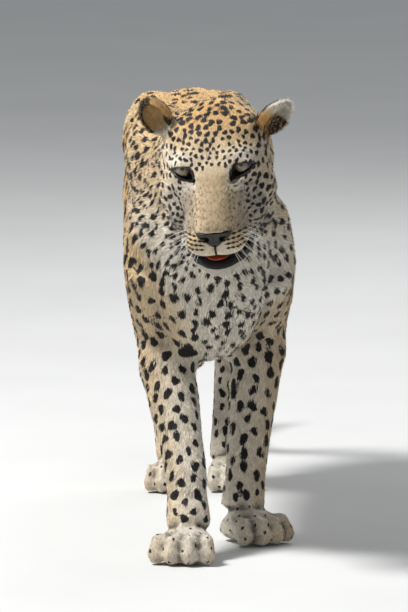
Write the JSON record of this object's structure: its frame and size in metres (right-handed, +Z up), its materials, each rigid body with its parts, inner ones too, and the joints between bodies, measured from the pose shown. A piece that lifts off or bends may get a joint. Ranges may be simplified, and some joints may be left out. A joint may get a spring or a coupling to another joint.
{
  "type": "standing leopard model",
  "caption": "Life-size still model of an adult male leopard walking forward with its head low, its mouth a little open and its tail swept back.",
  "frame": {"origin": "on the floor, at the middle of the model's box seen from above", "axes": "+Z up, +Y from the head towards the tail, +X towards the animal's left side"},
  "size_m": [0.274, 1.6262, 0.7088],
  "materials": {
    "coat": "short spotted fur",
    "nose_leather": "finely pebbled, slightly damp",
    "tongue": "wet",
    "eye": "glossy"
  },
  "bodies": {
    "root": {"head": "coat", "jaw": "coat", "nose": "nose_leather", "tongue": "tongue", "eye_left": "eye", "eye_right": "eye", "ear_left": "coat", "ear_right": "coat", "neck": "coat", "torso": "coat", "tail_base": "coat", "tail_upper": "coat", "tail_middle": "coat", "tail_lower": "coat", "tail_tip": "coat", "leg_front_left_upper": "coat", "leg_front_left_lower": "coat", "leg_front_left_paw": "coat", "leg_front_right_upper": "coat", "leg_front_right_lower": "coat", "leg_front_right_paw": "coat", "leg_rear_left_upper": "coat", "leg_rear_left_lower": "coat", "leg_rear_left_paw": "coat", "leg_rear_right_upper": "coat", "leg_rear_right_lower": "coat", "leg_rear_right_paw": "coat"}
  },
  "joints": []
}
